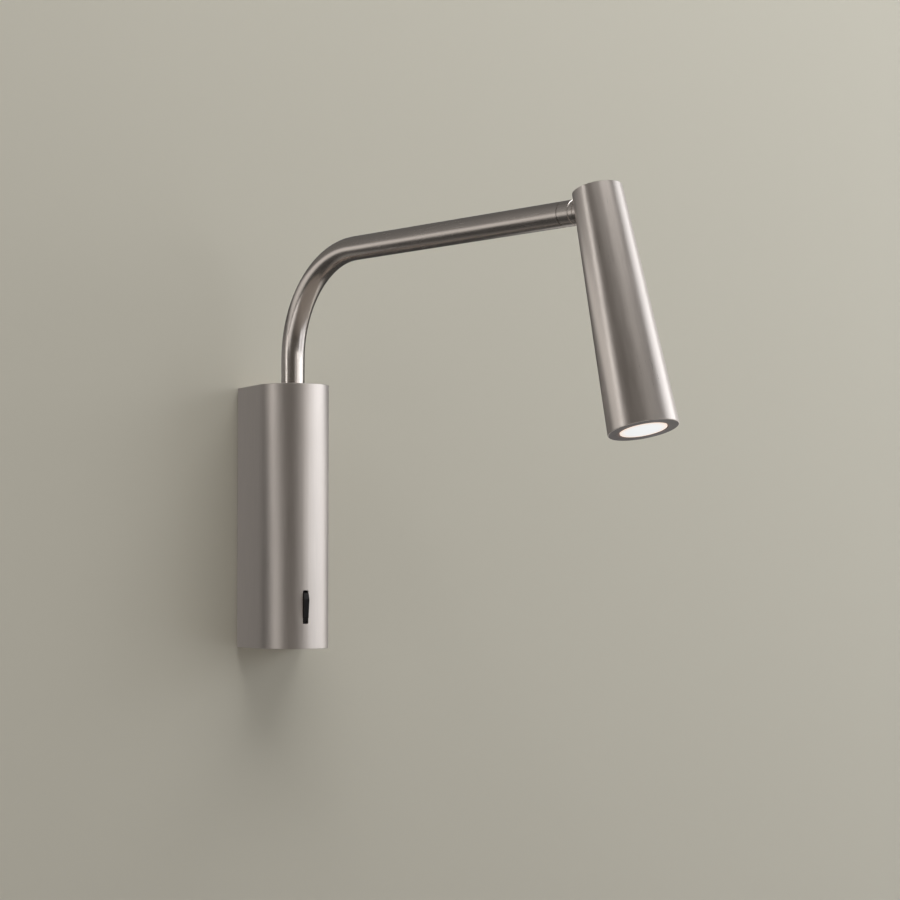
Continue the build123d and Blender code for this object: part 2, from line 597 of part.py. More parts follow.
def rocker_profile():
    """Side view at mid travel, as Y and Z from the pivot."""
    face = -ROCKER_PIVOT_DEPTH - ROCKER_EDGE
    crest = -ROCKER_PIVOT_DEPTH - ROCKER_CREST
    end_z = math.sqrt(ROCKER_SWEEP ** 2 - face ** 2)
    top = (face, end_z)
    foot = (face, -end_z)
    front = Polyline(foot, (crest, -ROCKER_CREST_Z), (crest, ROCKER_CREST_Z), top)
    upper = ThreePointArc(top, swept_point(face / 2), (0, ROCKER_SWEEP))
    root_z = ROCKER_ROOT_HEIGHT / 2
    rear = Polyline((0, ROCKER_SWEEP), (ROCKER_ROOT, root_z), (ROCKER_ROOT, -root_z), (0, -ROCKER_SWEEP))
    low_middle = (swept_point(face / 2)[0], -swept_point(face / 2)[1])
    lower = ThreePointArc((0, -ROCKER_SWEEP), low_middle, foot)
    return make_face(front.edges() + upper.edges() + rear.edges() + lower.edges())


def swept_point(y):
    """Point of the rocker's end arc at the distance y from the pivot."""
    return (y, math.sqrt(ROCKER_SWEEP ** 2 - y ** 2))


def switch_rocker():
    blade = extrude(Plane.YZ * rocker_profile(), ROCKER_WIDTH / 2, both=True)
    reach = ROCKER_WIDTH / 2 + TRUNNION_REACH
    rocker = blade + cross_pin(TRUNNION_RADIUS, -reach, reach)
    return on_switch(Rot(ROCKER_TRAVEL / 2, 0, 0) * rocker)


def switch_blades():
    """Contact blades at the switch's back, one over the other."""
    blades = []
    half = TERMINAL_WIDTH / 2
    for side in (-1, 1):
        z = SWITCH_Z + side * TERMINAL_PITCH / 2
        x = side * (pole_places()[-1] + LEAD_RADIUS - half)
        low, high = z - TERMINAL_THICKNESS / 2, z + TERMINAL_THICKNESS / 2
        blades.append(block(x - half, x + half, HOUSING_BACK, TRAY_FRONT, low, high))
    return blades


# ---- swivel ----
def swivel_bush_upper():
    top = COLUMN_TOP - BUSH_SINK
    flange_foot = top - BUSH_FLANGE_THICKNESS
    bush = post(BUSH_RADIUS, flange_foot - BUSH_LENGTH, flange_foot) + post(BUSH_FLANGE, flange_foot, top)
    return on_axis(bush - post(TUBE_RADIUS + RUN_FIT, BOSS_FOOT, COLUMN_TOP + CUT))


def swivel_bush_lower():
    bush = post(BUSH_RADIUS, BOSS_FOOT, LOWER_BUSH_TOP) + post(BUSH_FLANGE, FLANGE_FOOT, BOSS_FOOT)
    return on_axis(bush - post(TUBE_RADIUS + RUN_FIT, FLANGE_FOOT - CUT, LOWER_BUSH_TOP + CUT))


def swivel_stop_pin():
    low, high = COLLAR_TOP - LUG_HEIGHT, BOSS_FOOT + STOP_PIN_ROOT
    return on_axis(post(STOP_PIN_RADIUS, low, high, 0, STOP_PIN_CIRCLE))


def support_ring():
    """Ring in the tube's groove that rests on the lower bush."""
    inner = TUBE_RADIUS - GROOVE_DEPTH
    return on_arm(ring(SUPPORT_RING_RADIUS, inner, LOWER_BUSH_TOP, LOWER_BUSH_TOP + SUPPORT_RING_THICKNESS))


def thrust_washer():
    return on_arm(ring(WASHER_RADIUS, TUBE_RADIUS + SEAT_FIT, WASHER_FOOT, FLANGE_FOOT))


def disc_spring():
    """Dished washer: outer edge up against the washer, inner edge down on the collar."""
    inner = TUBE_RADIUS + SEAT_FIT
    flat = SPRING_HEIGHT - SPRING_THICKNESS
    low_in = (inner, 0, COLLAR_TOP)
    high_in = (inner, 0, COLLAR_TOP + SPRING_THICKNESS)
    high_out = (WASHER_RADIUS, 0, WASHER_FOOT)
    low_out = (WASHER_RADIUS, 0, COLLAR_TOP + flat)
    section = make_face(Polyline(low_in, high_in, high_out, low_out, low_in).edges())
    return on_arm(revolve(section, Axis.Z, 360))


def swivel_collar():
    pin_half = math.degrees(math.asin(STOP_PIN_RADIUS / STOP_PIN_CIRCLE))
    lug_angle = 360 - 2 * (ARM_SWING + pin_half + STOP_MARGIN)
    turn = Rot(0, 0, -90 - lug_angle / 2)
    lug_place = Pos(0, 0, COLLAR_TOP - LUG_HEIGHT / 2)
    collar = post(COLLAR_RADIUS, COLLAR_FOOT, COLLAR_TOP)
    collar += lug_place * turn * pie(LUG_RADIUS, LUG_HEIGHT, lug_angle)
    collar -= post(TUBE_RADIUS + SEAT_FIT, COLLAR_FOOT - CUT, COLLAR_TOP + CUT)
    return on_arm(collar - rod(GRUB_RADIUS + SEAT_FIT, 0, LUG_RADIUS + CUT, 0, grub_height()))


def grub_height():
    return COLLAR_FOOT + (COLLAR_HEIGHT - LUG_HEIGHT) / 2 + GRUB_RADIUS / 2


def collar_grub_screw():
    screw = rod(GRUB_RADIUS, TUBE_RADIUS + SEAT_FIT, COLLAR_RADIUS - EDGE_BREAK, 0, grub_height())
    key = Rot(90, 0, 0) * extrude(RegularPolygon(GRUB_RADIUS / 2, 6), GRUB_RADIUS, both=True)
    return on_arm(screw - Pos(0, COLLAR_RADIUS - EDGE_BREAK, grub_height()) * key)


# ---- arm ----
def arm_tube():
    end = PIVOT_OUT - RING_LINE
    tube = bent_rod(TUBE_RADIUS, TUBE_FOOT, end)
    bore = bent_rod(TUBE_BORE, TUBE_FOOT - CUT, end + CUT)
    groove_inner = TUBE_RADIUS - GROOVE_DEPTH
    groove_top = LOWER_BUSH_TOP + SUPPORT_RING_THICKNESS
    return on_arm(tube - bore - ring(TUBE_RADIUS + CUT, groove_inner, LOWER_BUSH_TOP, groove_top))


def arm_wires():
    end = PIVOT_OUT - SPIGOT_END
    return [on_arm(bent_rod(WIRE_RADIUS, CONNECTOR_TOP, end, side * WIRE_SPACING / 2)) for side in (-1, 1)]


def arm_end_insert():
    """Bearing in the tube's end, with the arc groove of the turning stop."""
    back = RING_LINE + INSERT_LENGTH
    insert = hoop(TUBE_BORE - SEAT_FIT, SPIGOT_RADIUS + RUN_FIT, RING_LINE, back)
    width = TURN_PIN_RADIUS + TURN_GROOVE_GAP
    depth = TURN_PIN_REACH + TURN_GROOVE_GAP
    track = hoop(TURN_PIN_CIRCLE + width, TURN_PIN_CIRCLE - width, RING_LINE - CUT, RING_LINE + depth)
    pin_half = math.degrees(math.asin(TURN_PIN_RADIUS / TURN_PIN_CIRCLE))
    stop_angle = 360 - 2 * (TURN_LIMIT + pin_half + STOP_MARGIN)
    stop = pie(TUBE_RADIUS, 4 * depth, stop_angle)
    track -= Pos(0, RING_LINE, 0) * Rot(90, 0, 0) * Rot(0, 0, -90 - stop_angle / 2) * stop
    return on_knuckle(insert - track)


# ---- knuckle ----
def knuckle_sleeve():
    body = rod(TUBE_RADIUS, SLEEVE_START, SLEEVE_END)
    body = chamfer(body.edges().filter_by(GeomType.CIRCLE), JOINT_GAP)
    body += rod(SPIGOT_RADIUS, SLEEVE_END, SPIGOT_END)
    body -= rod(SHANK_RADIUS + SEAT_FIT, SLEEVE_START - CUT, NOSE_END + SHANK_LENGTH)
    body -= rod(SPIGOT_BORE, SLEEVE_START, SPIGOT_END + CUT)
    clip = RING_LINE + INSERT_LENGTH + WAVE_THICKNESS
    body -= hoop(SPIGOT_RADIUS + CUT, SPIGOT_RADIUS - GROOVE_DEPTH, clip, clip + CLIP_THICKNESS)
    low = RING_LINE - 2 * TURN_PIN_REACH
    return on_knuckle(body - rod(TURN_PIN_RADIUS + SEAT_FIT, low, RING_LINE, 0, TURN_PIN_CIRCLE))


def turn_stop_pin():
    low = RING_LINE - 2 * TURN_PIN_REACH
    return on_knuckle(rod(TURN_PIN_RADIUS, low, RING_LINE + TURN_PIN_REACH, 0, TURN_PIN_CIRCLE))


def turn_wave_washer():
    low = RING_LINE + INSERT_LENGTH
    return on_knuckle(hoop(CLIP_RADIUS, SPIGOT_RADIUS + SEAT_FIT, low, low + WAVE_THICKNESS))


def turn_clip():
    low = RING_LINE + INSERT_LENGTH + WAVE_THICKNESS
    return on_knuckle(hoop(CLIP_RADIUS, SPIGOT_RADIUS - GROOVE_DEPTH, low, low + CLIP_THICKNESS))


def knuckle_spacer():
    return on_knuckle(hoop(SPACER_RADIUS, SHANK_RADIUS + SEAT_FIT, NOSE_END, SLEEVE_START))


def tilt_tongue():
    """Full-width end of the arm: it enters the head's slot and is rounded about the tilt pin."""
    half = TONGUE_THICKNESS / 2
    tongue = rod(TUBE_RADIUS, 0, NOSE_END)
    tongue = chamfer(tongue.edges().filter_by(GeomType.CIRCLE).group_by(Axis.Y)[-1], JOINT_GAP)
    low, high = NOSE_GROOVE_PLACE - NOSE_GROOVE / 2, NOSE_GROOVE_PLACE + NOSE_GROOVE / 2
    tongue -= hoop(TUBE_RADIUS + CUT, TUBE_RADIUS - NOSE_GROOVE, low, high)
    tongue += rod(TUBE_RADIUS, -TUBE_RADIUS, 0) & cross_pin(TUBE_RADIUS, -TUBE_RADIUS, TUBE_RADIUS)
    for x0, x1 in ((-TUBE_RADIUS - CUT, -half), (half, TUBE_RADIUS + CUT)):
        tongue -= block(x0, x1, -TUBE_RADIUS - CUT, FLAT_END, -TUBE_RADIUS, TUBE_RADIUS)
    tongue += rod(SHANK_RADIUS, NOSE_END, NOSE_END + SHANK_LENGTH)
    tongue -= cross_pin(TILT_PIN_RADIUS + RUN_FIT, -half - CUT, half + CUT)
    wires = FLAT_END - 2 * TONGUE_BORE
    tongue -= rod(TONGUE_BORE, wires, NOSE_END + SHANK_LENGTH + CUT)
    exit_down = block(-TONGUE_BORE, TONGUE_BORE, wires, FLAT_END, -TUBE_RADIUS - CUT, 0)
    return on_knuckle(tongue - exit_down)


# ---- head ----
def head_shell():
    shell = head_cone(-HEAD_BELOW, HEAD_ABOVE)
    shell = chamfer(shell.edges().filter_by(GeomType.CIRCLE), HEAD_EDGE_BREAK)
    shell -= head_cone(-HEAD_BELOW - CUT, HEAD_ABOVE + CUT, HEAD_WALL)
    return on_head(shell - mouth_bevel(0) - tongue_slot(0))


def mouth_bevel(inset):
    """Bevelled seat in the head's mouth, from the thin edge in to the wall's inside."""
    depth = (HEAD_WALL - RIM_EDGE) / (1 - HEAD_TAPER)
    wide = HEAD_FOOT_RADIUS - RIM_EDGE - inset
    return Pos(0, 0, -HEAD_BELOW + depth / 2) * Cone(wide, wide - depth, depth)


def tongue_slot(front):
    """Slot for the tongue, open at the back and the top, from the distance front."""
    reach = 2 * HEAD_FOOT_RADIUS
    return block(-TONGUE_SLOT, TONGUE_SLOT, -front, reach, SLOT_FOOT, HEAD_ABOVE + CUT)


def head_top_cap():
    cap = head_cone(YOKE_TOP, HEAD_ABOVE - HEAD_EDGE_BREAK, HEAD_WALL + SEAT_FIT)
    return on_head(cap - tongue_slot(TILTED_FRONT + SLOT_MARGIN))


def head_yoke():
    yoke = head_cone(YOKE_FOOT, YOKE_TOP, HEAD_WALL + SEAT_FIT)
    yoke -= tongue_slot(TUBE_RADIUS + SLOT_MARGIN)
    reach = TILT_PIN_LENGTH / 2
    yoke -= cross_pin(TILT_PIN_RADIUS + SEAT_FIT, -reach, reach)
    return on_head(yoke - post(WIRE_HOLE, YOKE_FOOT - CUT, SLOT_FOOT + CUT))


def tilt_pin():
    return on_head(cross_pin(TILT_PIN_RADIUS, -TILT_PIN_LENGTH / 2, TILT_PIN_LENGTH / 2))


def tilt_washers():
    inner = TONGUE_THICKNESS / 2
    outer = inner + TILT_WASHER_THICKNESS
    washers = []
    for low, high in ((-outer, -inner), (inner, outer)):
        disc = cross_pin(TILT_WASHER_RADIUS, low, high)
        washers.append(on_head(disc - cross_pin(TILT_PIN_RADIUS + SEAT_FIT, low - CUT, high + CUT)))
    return washers


def spacer_tube():
    return on_head(ring(SPACER_TUBE_RADIUS, SPACER_TUBE_RADIUS - SPACER_TUBE_WALL, SINK_TOP, YOKE_FOOT))


def heat_sink():
    sink = head_cone(SINK_FOOT, SINK_TOP, HEAD_WALL + SEAT_FIT)
    pitch = SINK_LENGTH / (FIN_COUNT + 1)
    core = HEAD_TOP_RADIUS - FIN_DEPTH
    for fin in range(FIN_COUNT):
        low = SINK_FOOT + (fin + 1) * pitch
        sink -= ring(HEAD_FOOT_RADIUS, core, low, low + FIN_GROOVE)
    sink -= post(WIRE_HOLE, SINK_FOOT - CUT, SINK_TOP + CUT)
    for side in (-1, 1):
        tip = BOARD_FOOT + BOARD_SCREW_LENGTH
        sink -= post(BOARD_SCREW_RADIUS + SEAT_FIT, SINK_FOOT - CUT, tip, side * BOARD_SCREW_OFFSET)
    return on_head(sink)


def led_board():
    board = post(BOARD_RADIUS, BOARD_FOOT, SINK_FOOT)
    for side in (-1, 1):
        x = side * BOARD_SCREW_OFFSET
        board -= post(BOARD_SCREW_RADIUS + SEAT_FIT, BOARD_FOOT - CUT, SINK_FOOT + CUT, x)
    return on_head(board)


def led_chip():
    return on_head(post(CHIP_RADIUS, BOARD_FOOT - CHIP_THICKNESS, BOARD_FOOT))


def board_screws():
    screws = []
    for side in (-1, 1):
        x = side * BOARD_SCREW_OFFSET
        screw = post(BOARD_SCREW_RADIUS, BOARD_FOOT, BOARD_FOOT + BOARD_SCREW_LENGTH, x)
        screw += post(BOARD_SCREW_HEAD, BOARD_FOOT - BOARD_SCREW_HEAD_HEIGHT, BOARD_FOOT, x)
        screws.append(on_head(screw))
    return screws


def beam_optic():
    """Collimator that stands on the board round the chip."""
    middle = Pos(0, 0, (LENS_TOP + BOARD_FOOT) / 2)
    optic = middle * Cone(OPTIC_MOUTH, OPTIC_NECK, OPTIC_LENGTH)
    return on_head(optic - post(CHIP_RADIUS + SIDE_GAP, BOARD_FOOT - 2 * CHIP_THICKNESS, BOARD_FOOT + CUT))


def front_lens():
    """Stepped lens: the ring holds its flange, and its face is flush with the ring's."""
    face = post(LIGHT_RADIUS - SEAT_FIT, -HEAD_BELOW, LENS_FOOT)
    return on_head(post(LENS_RADIUS, LENS_FOOT, LENS_TOP) + face)


def lens_ring():
    """Threaded ring in the head's mouth that holds the lens."""
    ring_top = -HEAD_BELOW + RING_SLEEVE
    body = head_cone(-HEAD_BELOW, ring_top, HEAD_WALL + SEAT_FIT) + mouth_bevel(SEAT_FIT)
    body -= post(LENS_RADIUS + SEAT_FIT, LENS_FOOT, ring_top + CUT)
    body -= post(LIGHT_RADIUS, -HEAD_BELOW - CUT, LENS_FOOT + CUT)
    bevel = Cone(LIGHT_RADIUS + 2 * LIP_BEVEL, LIGHT_RADIUS, 2 * LIP_BEVEL)
    return on_head(body - Pos(0, 0, -HEAD_BELOW) * bevel)


def head_wires():
    top = SLOT_FOOT - SLOT_MARGIN
    return [on_head(post(WIRE_RADIUS, SINK_FOOT, top, side * WIRE_SPACING / 2)) for side in (-1, 1)]


NODES = (
    wall_plate, cable_grommet, earth_screw, earth_washer,
    terminal_block, terminal_screws, block_fixing_screw,
    column_shell, column_top_cap, column_bottom_cap, column_fixing_screw,
    driver_tray, led_driver, driver_screws, driver_connector, supply_leads, switch_leads,
    switch_holder, switch_housing, switch_blades, switch_rocker,
    swivel_bush_upper, swivel_bush_lower, swivel_stop_pin,
    support_ring, thrust_washer, disc_spring, swivel_collar, collar_grub_screw,
    arm_tube, arm_wires, arm_end_insert,
    knuckle_sleeve, turn_stop_pin, turn_wave_washer, turn_clip, knuckle_spacer, tilt_tongue,
    head_shell, head_top_cap, head_yoke, tilt_pin, tilt_washers, spacer_tube,
    heat_sink, led_board, led_chip, board_screws, beam_optic, front_lens, lens_ring, head_wires,
)

os.makedirs("parts", exist_ok=True)
for make in NODES:
    solids = make()
    if isinstance(solids, list):
        solids = Compound(children=solids)
    export_step(solids, "parts/" + make.__name__ + ".step")
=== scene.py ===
"""Bedside wall reading lamp: finishes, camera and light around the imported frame. Metres."""
import json
import math

import bpy
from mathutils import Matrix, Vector


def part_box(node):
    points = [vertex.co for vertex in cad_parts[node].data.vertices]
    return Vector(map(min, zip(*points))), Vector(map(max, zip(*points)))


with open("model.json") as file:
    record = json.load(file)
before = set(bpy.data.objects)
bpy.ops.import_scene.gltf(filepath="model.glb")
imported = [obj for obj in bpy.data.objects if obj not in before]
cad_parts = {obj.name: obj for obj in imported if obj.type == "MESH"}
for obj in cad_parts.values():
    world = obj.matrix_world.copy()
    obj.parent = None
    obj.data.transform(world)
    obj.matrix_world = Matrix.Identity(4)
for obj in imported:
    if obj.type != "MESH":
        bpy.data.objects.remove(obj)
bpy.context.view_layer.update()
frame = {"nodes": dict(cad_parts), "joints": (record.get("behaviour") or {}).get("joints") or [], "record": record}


def rgb(red, green, blue):
    return (red, green, blue, 1.0)


# ---- camera, from the fit of the photograph's outlines ----
CAMERA_PLACE = (-0.4861, -1.2569, -0.0310)
CAMERA_YAW = 25.17       # degrees from straight at the wall, to the right
CAMERA_PITCH = 2.84      # degrees up
CAMERA_LENS = 102.3      # mm, for a sensor of the width below
SENSOR = 36.0

# ---- stage ----
WALL_LEFT, WALL_RIGHT = -2.2, 1.15
WALL_FOOT, WALL_TOP = -0.55, 1.1
WALL_BEHIND = 0.0003     # behind the plane that the lamp stands on
OPENING_WIDTH, OPENING_HEIGHT = 0.031, 0.129
FLOOR_REACH = 2.4        # in front of the wall and behind it
WALL_COLOR = rgb(0.642, 0.617, 0.528)
FLOOR_COLOR = rgb(0.62, 0.60, 0.57)
FLOOR_TO_METAL = rgb(0.34, 0.31, 0.285)   # what all but the camera sees
WORLD_COLOR = rgb(0.097, 0.089, 0.080)
BACKDROP_COLOR = rgb(0.50, 0.48, 0.42)    # the world as the camera sees it

# ---- brushed metal ----
NICKEL = (0.615, 0.56, 0.515)
GRAIN_SCALE, GRAIN_STRETCH = 5200.0, 0.012   # stretch: the scale along the grain, as a share
STREAK_SCALE, STREAK_STRETCH = 900.0, 0.06
GRAIN_SHARE, STREAK_SHARE = 0.6, 0.4
SHADE_CHANGE = 0.05
WEAR = 0.03              # change of roughness from streak to streak
CLOUD_SCALE, CLOUD_WEAR = 22.0, 0.02
ANISOTROPY = 0.5
BRUSHED_BUMP, BRUSHED_DEPTH = 0.12, 0.00002
END_GRAIN = (0.020, 0.013, 0.017)   # a slight lean, for end faces square to the grain

# ---- other finishes ----
NOISE_LOW, NOISE_HIGH = 0.3, 0.7    # the share of a noise's range that is put to use
PLAIN_CHANGE = 0.05      # of shade and of roughness
PLAIN_CLOUDS = 60.0
PLAIN_DEPTH = 0.00004
LENS_BODY = rgb(0.3, 0.3, 0.29)
LENS_GLOW = 0.67
LENS_MIDDLE, LENS_RIM = rgb(0.96, 0.985, 1.0), rgb(1.12, 0.90, 0.75)
LENS_WARMS_FROM = 0.0078   # from the head's axis
LENS_RADIUS = 0.0106
# painted shade: the ring's colour is made dark in place of the dark reflection of nickel
RING_COLOR_PAINTED_DARK = rgb(0.040, 0.030, 0.026)
# painted light: the ring glows warm next to the lens, though it is no lamp
RING_PAINTED_GLOW = 0.06
RING_PAINTED_GLOW_COLOR = rgb(1.0, 0.42, 0.25)
RING_PAINTED_GLOW_ENDS = 0.0122    # from the head's axis
RING_ROUGHNESS = (0.38, 0.46)
SATIN_BUMP, SATIN_DEPTH = 0.1, 0.00003   # of the lens and its ring
WALL_ROLLER, WALL_BUMP, WALL_DEPTH = 260.0, 0.04, 0.0003
FLOOR_ROUGHNESS = 0.7

# Sockets of the node Mix that are for colours.
MIX_FIRST, MIX_SECOND, MIX_RESULT = 6, 7, 2


def by_name(joint):
    return next(j for j in frame["joints"] if j["name"] == joint)


# ---- places and directions from the frame ----
TUBE_BEND = 0.0525       # the arm's bend, to the middle of the tube
ARM_AXIS = Vector(by_name("head_turn")["axis"])
TILT_AXIS = Vector(by_name("head_tilt")["axis"])
PIVOT = Vector(by_name("head_tilt")["pos_m"])
SWIVEL = Vector(by_name("arm_swivel")["pos_m"])
RIGHT = Vector((1, 0, 0))
UP = Vector((0, 0, 1))
lens_low, lens_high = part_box("front_lens")
LENS_CENTRE = (lens_low + lens_high) / 2
HEAD_AXIS = (PIVOT - LENS_CENTRE).normalized()


# ---- node helpers ----
class Graph:
    """A material's nodes, with short calls to add and join them."""

    def __init__(self, name):
        self.material = bpy.data.materials.new(name)
        self.material.use_nodes = True
        self.tree = self.material.node_tree
        self.tree.nodes.clear()
        self.output = self.tree.nodes.new("ShaderNodeOutputMaterial")

    def node(self, kind, **settings):
        made = self.tree.nodes.new("ShaderNode" + kind)
        for key, value in settings.items():
            setattr(made, key, value)
        return made

    def put(self, socket, value):
        if isinstance(value, bpy.types.NodeSocket):
            self.tree.links.new(value, socket)
        else:
            socket.default_value = value

    def place(self):
        """The shaded point, in the object's own coordinates."""
        return self.node("TexCoord").outputs["Object"]

    def math(self, operation, first, second=0.0):
        made = self.node("Math", operation=operation)
        self.put(made.inputs[0], first)
        self.put(made.inputs[1], second)
        return made.outputs[0]

    def product(self, first, *others):
        for other in others:
            first = self.math("MULTIPLY", first, other)
        return first

    def vector(self, operation, first, second=(0, 0, 0)):
        made = self.node("VectorMath", operation=operation)
        self.put(made.inputs[0], first)
        self.put(made.inputs[1], second)
        return made.outputs["Value" if operation in ("DOT_PRODUCT", "LENGTH") else "Vector"]

    def dot(self, vector, direction):
        return self.vector("DOT_PRODUCT", vector, tuple(direction))

    def scaled(self, vector, factor):
        made = self.node("VectorMath", operation="SCALE")
        self.put(made.inputs[0], tuple(vector))
        self.put(made.inputs["Scale"], factor)
        return made.outputs[0]

    def combine(self, x, y, z):
        made = self.node("CombineXYZ")
        for socket, value in zip(made.inputs, (x, y, z)):
            self.put(socket, value)
        return made.outputs[0]

    def noise(self, where, scale, detail=2.0, roughness=0.5):
        made = self.node("TexNoise")
        self.put(made.inputs["Vector"], where)
        made.inputs["Scale"].default_value = scale
        made.inputs["Detail"].default_value = detail
        made.inputs["Roughness"].default_value = roughness
        return made.outputs["Fac"]

    def span(self, value, low, high, to_low, to_high):
        made = self.node("MapRange")
        for socket, number in zip(made.inputs[1:5], (low, high, to_low, to_high)):
            socket.default_value = number
        self.put(made.inputs[0], value)
        return made.outputs[0]

    def spread(self, noise, to_low, to_high):
        """A noise's middle values, spread between two numbers."""
        return self.span(noise, NOISE_LOW, NOISE_HIGH, to_low, to_high)

    def soft_step(self, value, none, full):
        """0 at none and 1 at full, with a smooth change between them."""
        made = self.node("MapRange", interpolation_type="SMOOTHSTEP")
        made.inputs[1].default_value, made.inputs[2].default_value = none, full
        self.put(made.inputs[0], value)
        return made.outputs[0]

    def mix(self, share, first, second):
        made = self.node("Mix", data_type="RGBA")
        self.put(made.inputs[0], share)
        self.put(made.inputs[MIX_FIRST], first)
        self.put(made.inputs[MIX_SECOND], second)
        return made.outputs[MIX_RESULT]

    def bump(self, height, strength, distance):
        made = self.node("Bump")
        made.inputs["Strength"].default_value = strength
        made.inputs["Distance"].default_value = distance
        self.put(made.inputs["Height"], height)
        return made.outputs[0]

    def finish(self, shader):
        """Join the shader to the output."""
        self.tree.links.new(shader.outputs[0], self.output.inputs["Surface"])
        return self.material

    def surface(self, **inputs):
        shader = self.node("BsdfPrincipled")
        for key, value in inputs.items():
            self.put(shader.inputs[key.replace("_", " ")], value)
        self.finish(shader)
        return shader


# ---- brushed metal ----
def grain_along(axis):
    """A function that gives coordinates with the grain along a straight axis, and that axis."""
    side = axis.orthogonal().normalized()
    other = axis.cross(side)

    def grain(graph):
        place = graph.place()
        return [graph.dot(place, direction) for direction in (side, other, axis)], tuple(axis)

    return grain


def grain_along_tube(graph):
    """The same for the bent tube: sideways, out from the bend's centre, and along."""
    place = graph.place()
    bend_height = PIVOT.z - TUBE_BEND
    sideways = graph.dot(place, TILT_AXIS)
    out = graph.dot(graph.vector("SUBTRACT", place, tuple(SWIVEL)), ARM_AXIS)
    height = graph.dot(place, UP)
    level = graph.math("SUBTRACT", graph.math("MINIMUM", out, TUBE_BEND), TUBE_BEND)
    rise = graph.math("SUBTRACT", graph.math("MAXIMUM", height, bend_height), bend_height)
    squares = [graph.math("POWER", part, 2.0) for part in (level, rise)]
    away = graph.math("SQRT", graph.math("ADD", *squares))
    along = graph.math("ADD", out, height)
    outwards = graph.scaled(ARM_AXIS, rise)
    upwards = graph.scaled(UP, graph.product(level, -1.0))
    return [sideways, away, along], graph.vector("ADD", outwards, upwards)


def grain_tangent(graph, axis):
    """Direction across the grain, in world space."""
    turned = graph.node(
        "VectorTransform", vector_type="VECTOR", convert_from="OBJECT", convert_to="WORLD")
    graph.put(turned.inputs[0], axis)
    normal = graph.node("NewGeometry").outputs["Normal"]
    across = graph.vector("CROSS_PRODUCT", turned.outputs[0], normal)
    return graph.vector("NORMALIZE", graph.vector("ADD", across, END_GRAIN))


def brushed(name, roughness, grain):
    """Brushed nickel. The grain runs along the axis that the function grain gives."""
    graph = Graph(name)
    (first, second, along), axis = grain(graph)
    fine_place = graph.combine(first, second, graph.product(along, GRAIN_STRETCH))
    broad_place = graph.combine(first, second, graph.product(along, STREAK_STRETCH))
    fine = graph.noise(fine_place, GRAIN_SCALE, 3.0, 0.6)
    broad = graph.noise(broad_place, STREAK_SCALE)
    clouds = graph.noise(graph.place(), CLOUD_SCALE)
    streaks = graph.math(
        "ADD", graph.product(fine, GRAIN_SHARE), graph.product(broad, STREAK_SHARE))
    shade = graph.spread(streaks, 1.0 - SHADE_CHANGE, 1.0 + SHADE_CHANGE)
    rough = graph.math(
        "ADD", graph.spread(streaks, roughness - WEAR, roughness + WEAR),
        graph.spread(clouds, -CLOUD_WEAR, CLOUD_WEAR))
    graph.surface(
        Base_Color=graph.scaled(NICKEL, shade), Metallic=1.0, Roughness=rough,
        Anisotropic=ANISOTROPY, Tangent=grain_tangent(graph, axis),
        Normal=graph.bump(streaks, BRUSHED_BUMP, BRUSHED_DEPTH))
    return graph.material


# ---- other finishes ----
def plain(name, color, roughness, metallic=0.0, scale=900.0, bump=0.12, gloss=0.5):
    """Fine even grain, as moulded plastic, plated or turned metal."""
    graph = Graph(name)
    place = graph.place()
    grain = graph.noise(place, scale)
    clouds = graph.noise(place, PLAIN_CLOUDS, 3.0, 0.55)
    shade = graph.spread(clouds, 1.0 - PLAIN_CHANGE, 1.0 + PLAIN_CHANGE)
    rough = graph.spread(clouds, roughness - PLAIN_CHANGE, roughness + PLAIN_CHANGE)
    graph.surface(
        Base_Color=graph.scaled(color, shade), Metallic=metallic, Roughness=rough,
        Specular_IOR_Level=gloss, Normal=graph.bump(grain, bump, PLAIN_DEPTH))
    return graph.material


def from_lens_axis(graph, place):
    """Distance of a point from the head's axis."""
    away = graph.vector("SUBTRACT", place, tuple(LENS_CENTRE))
    along = graph.scaled(HEAD_AXIS, graph.dot(away, HEAD_AXIS))
    return graph.vector("LENGTH", graph.vector("SUBTRACT", away, along))


def lit_lens():
    """Frosted lens, lit evenly and warmer at its rim."""
    graph = Graph("lit_lens")
    place = graph.place()
    rim = graph.span(from_lens_axis(graph, place), LENS_WARMS_FROM, LENS_RADIUS, 0.0, 1.0)
    frost = graph.noise(place, 1500.0)
    graph.surface(
        Base_Color=LENS_BODY, Roughness=0.35, Normal=graph.bump(frost, SATIN_BUMP, SATIN_DEPTH),
        Emission_Color=graph.mix(rim, LENS_MIDDLE, LENS_RIM), Emission_Strength=LENS_GLOW)
    return graph.material


def dark_ring():
    """Dark satin ring, its dark colour painted shade in place of the nickel's dark reflection, with a little
    painted warm light next to the lens.
    """
    graph = Graph("dark_ring")
    place = graph.place()
    grain = graph.noise(place, 1800.0)
    # painted light: share of the warm glow, full at the lens and none at the ring's outer edge
    painted_glow_near_lens = graph.span(from_lens_axis(graph, place), LENS_RADIUS, RING_PAINTED_GLOW_ENDS, 1.0, 0.0)
    graph.surface(
        Base_Color=RING_COLOR_PAINTED_DARK, Metallic=1.0,
        Roughness=graph.spread(graph.noise(place, 90.0), *RING_ROUGHNESS),
        Normal=graph.bump(grain, SATIN_BUMP, SATIN_DEPTH),
        Emission_Color=RING_PAINTED_GLOW_COLOR, Emission_Strength=graph.product(painted_glow_near_lens, RING_PAINTED_GLOW))
    return graph.material


